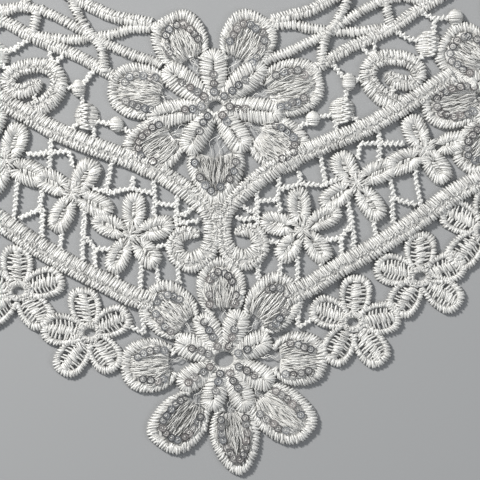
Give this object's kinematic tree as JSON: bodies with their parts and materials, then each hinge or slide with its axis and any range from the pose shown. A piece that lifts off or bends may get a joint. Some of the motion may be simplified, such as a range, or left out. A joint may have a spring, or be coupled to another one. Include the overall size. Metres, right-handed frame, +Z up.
{
  "type": "lace collar",
  "caption": "Flat guipure lace collar of sequinned flowers, scrolls, cords and joining bars, round an open neck with a centre-back opening.",
  "frame": {"origin": "middle of the laid-out collar's bounding box, on the surface it lies on", "axes": "+Z up out of the surface (the right side of the lace), +Y from the front point towards the centre back, +X to the right of the laid-out collar seen from above"},
  "size_m": [0.347, 0.3478, 0.0024],
  "materials": {
    "thread": "satin-stitched white cotton and polyester thread",
    "sequin": "clear glossy plastic with a faint shimmer"
  },
  "bodies": {
    "root": {"back_end_bar_left": "thread", "back_end_bar_right": "thread", "border_back_left": "thread", "border_back_right": "thread", "border_front_left": "thread", "border_front_right": "thread", "inner_cord_back_left": "thread", "inner_cord_back_right": "thread", "inner_cord_front_left": "thread", "inner_cord_front_right": "thread", "middle_flowers_back_left": "thread", "middle_flowers_back_right": "thread", "middle_flowers_front_left": "thread", "middle_flowers_front_right": "thread", "neck_flower": "thread", "neck_lattice_back_left": "thread", "neck_lattice_back_right": "thread", "neck_lattice_front_left": "thread", "neck_lattice_front_right": "thread", "outer_cord_back_left": "thread", "outer_cord_back_right": "thread", "outer_cord_front_left": "thread", "outer_cord_front_right": "thread", "scroll_insert_left": "thread", "scroll_insert_right": "thread", "side_flower_left": "thread", "side_flower_right": "thread", "stem_scroll": "thread", "tip_flower": "thread"}
  },
  "joints": []
}
